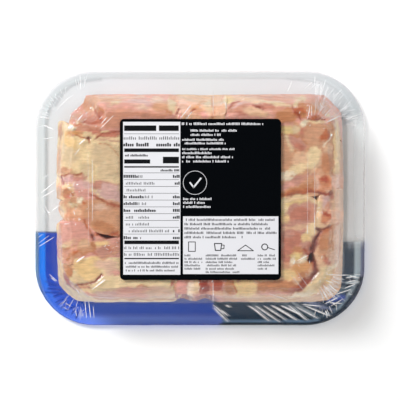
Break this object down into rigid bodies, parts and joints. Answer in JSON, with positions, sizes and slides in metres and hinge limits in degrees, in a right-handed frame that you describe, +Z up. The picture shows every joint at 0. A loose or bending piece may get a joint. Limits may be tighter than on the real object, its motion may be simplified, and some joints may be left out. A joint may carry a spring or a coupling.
{
  "type": "sealed tray of raw chicken thighs",
  "caption": "Clear film-wrapped tray of raw boneless skinless chicken thighs, lying base up with a square black back label on it.",
  "frame": {"origin": "middle of the pack's footprint, on the face that it rests on (the film over the tray's mouth)", "axes": "+X along the pack's length, +Y across it towards the head of the label, +Z up towards the tray's base"},
  "size_m": [0.219, 0.169, 0.0423],
  "materials": {
    "clear_tray": "clear thermoformed PET sheet, gloss",
    "clear_film": "clear stretch film, gloss, printed with a blue and a navy band",
    "label": "coated paper printed black with white panels",
    "meat": "wet raw poultry flesh with cream fat, pink to mauve muscle"
  },
  "bodies": {
    "root": {"tray": "clear_tray", "film": "clear_film", "label": "label", "thigh_top_left": "meat", "thigh_left_upper": "meat", "thigh_left_middle": "meat", "thigh_left_lower": "meat", "thigh_bottom_left": "meat", "thigh_top_middle": "meat", "thigh_top_right": "meat", "thigh_right_upper": "meat", "thigh_right_middle": "meat", "thigh_bottom_right": "meat", "thigh_bottom_middle": "meat"}
  },
  "joints": []
}
